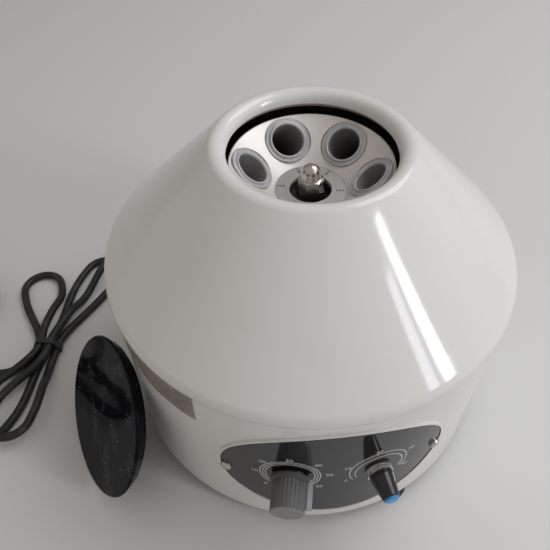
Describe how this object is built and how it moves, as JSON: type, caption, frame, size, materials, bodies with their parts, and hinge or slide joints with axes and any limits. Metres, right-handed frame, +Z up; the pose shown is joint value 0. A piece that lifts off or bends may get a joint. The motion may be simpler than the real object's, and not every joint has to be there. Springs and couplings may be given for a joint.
{
  "type": "bench centrifuge",
  "caption": "Round bench centrifuge with a conical cover, an open mouth over a tilted-sleeve rotor, a dial panel, a leaning push-in lid and a tied mains lead.",
  "frame": {"origin": "centre of the underside of the base plate, on the rotor's axis, one foot height above the table", "axes": "+Z up along the rotor's axis; the control panel faces -Y; the lid leans on the -X side"},
  "size_m": [0.4325, 0.3649, 0.2139],
  "materials": {
    "housing_plastic": "glossy moulded",
    "panel_plastic": "glossy printed",
    "black_rubber": "matt",
    "fastener_steel": "zinc plated",
    "ground_steel": "ground",
    "clear_tape": "thin and clear",
    "base_paint": "satin powder coat",
    "phenolic": "matt",
    "board": "satin",
    "white_nylon": "satin",
    "grey_knob": "satin",
    "black_knob": "glossy",
    "knurled_metal": "knurled",
    "blue_cap": "glossy",
    "chamber_paint": "satin black",
    "motor_steel": "rolled",
    "cast_aluminium": "cast",
    "laminations": "varnished",
    "copper": "wound",
    "bearing_steel": "polished",
    "rotor_black": "satin black",
    "dish_aluminium": "satin spun",
    "ring_plate": "printed",
    "nut_chrome": "polished",
    "sleeve_plastic": "milky and slightly clear",
    "cord_black": "satin",
    "tie_black": "matt",
    "pin_brass": "plated",
    "lid_black": "glossy moulded"
  },
  "bodies": {
    "housing": {"lower_body": "housing_plastic", "top_cover": "housing_plastic", "control_panel": "panel_plastic", "feet": "black_rubber", "dampers": "black_rubber", "foot_screws": "fastener_steel", "base_screws": "fastener_steel", "cover_screws": "fastener_steel", "panel_screws": "fastener_steel", "plate_screws": "fastener_steel", "timer_nut": "fastener_steel", "speed_nut": "fastener_steel", "edge_tape": "clear_tape", "base_plate": "base_paint", "timer_body": "phenolic", "speed_control": "phenolic", "brush_holders": "phenolic", "circuit_board": "board", "board_posts": "white_nylon", "fuse_holder": "black_knob", "chamber_bowl": "chamber_paint", "chamber_hood": "chamber_paint", "motor_can": "motor_steel", "motor_plate": "motor_steel", "plate_posts": "motor_steel", "motor_lower_bell": "cast_aluminium", "motor_upper_bell": "cast_aluminium", "motor_stator": "laminations", "upper_bearing": "bearing_steel", "lower_bearing": "bearing_steel", "strain_relief": "cord_black", "power_cord": "cord_black", "cord_hank": "cord_black", "plug_lead": "cord_black", "plug": "cord_black", "cord_tie": "tie_black", "plug_pins": "pin_brass"},
    "rotor": {"spindle": "ground_steel", "motor_armature": "copper", "rotor_hub": "rotor_black", "rotor_dish": "dish_aluminium", "number_ring": "ring_plate", "acorn_nut": "nut_chrome"},
    "sleeve_1": {"sleeve_1": "sleeve_plastic"},
    "sleeve_2": {"sleeve_2": "sleeve_plastic"},
    "sleeve_3": {"sleeve_3": "sleeve_plastic"},
    "sleeve_4": {"sleeve_4": "sleeve_plastic"},
    "sleeve_5": {"sleeve_5": "sleeve_plastic"},
    "sleeve_6": {"sleeve_6": "sleeve_plastic"},
    "timer": {"timer_shaft": "ground_steel", "timer_knob": "grey_knob", "timer_knob_skirt": "black_knob"},
    "speed": {"speed_shaft": "ground_steel", "speed_knob": "black_knob", "speed_knob_ring": "knurled_metal", "speed_knob_cap": "blue_cap"},
    "lid": {"lid": "lid_black"}
  },
  "joints": [
    {"name": "rotor_spin", "type": "hinge", "parent": "housing", "child": "rotor", "pos_m": [0, 0, 0.1], "axis": [0, 0, 1], "continuous": true},
    {"name": "sleeve_1_lift", "type": "slide", "parent": "rotor", "child": "sleeve_1", "axis": [-0.1728, 0.5909, 0.788], "range_m": [0, 0.009]},
    {"name": "sleeve_2_lift", "type": "slide", "parent": "rotor", "child": "sleeve_2", "axis": [-0.5981, 0.1458, 0.788], "range_m": [0, 0.009]},
    {"name": "sleeve_3_lift", "type": "slide", "parent": "rotor", "child": "sleeve_3", "axis": [-0.4253, -0.4451, 0.788], "range_m": [0, 0.009]},
    {"name": "sleeve_4_lift", "type": "slide", "parent": "rotor", "child": "sleeve_4", "axis": [0.1728, -0.5909, 0.788], "range_m": [0, 0.009]},
    {"name": "sleeve_5_lift", "type": "slide", "parent": "rotor", "child": "sleeve_5", "axis": [0.5981, -0.1458, 0.788], "range_m": [0, 0.009]},
    {"name": "sleeve_6_lift", "type": "slide", "parent": "rotor", "child": "sleeve_6", "axis": [0.4253, 0.4451, 0.788], "range_m": [0, 0.009]},
    {"name": "timer_turn", "type": "hinge", "parent": "housing", "child": "timer", "pos_m": [-0.02681, -0.12721, 0.066], "axis": [0.2062, 0.9785, 0], "range_deg": [-240, 60]},
    {"name": "speed_turn", "type": "hinge", "parent": "housing", "child": "speed", "pos_m": [0.02458, -0.12765, 0.066], "axis": [-0.1891, 0.982, 0], "range_deg": [-180, 120]},
    {"name": "lid_lift", "type": "slide", "parent": "housing", "child": "lid", "axis": [-0.6505, -0.2772, 0.7071], "range_m": [0, 0.2]}
  ]
}
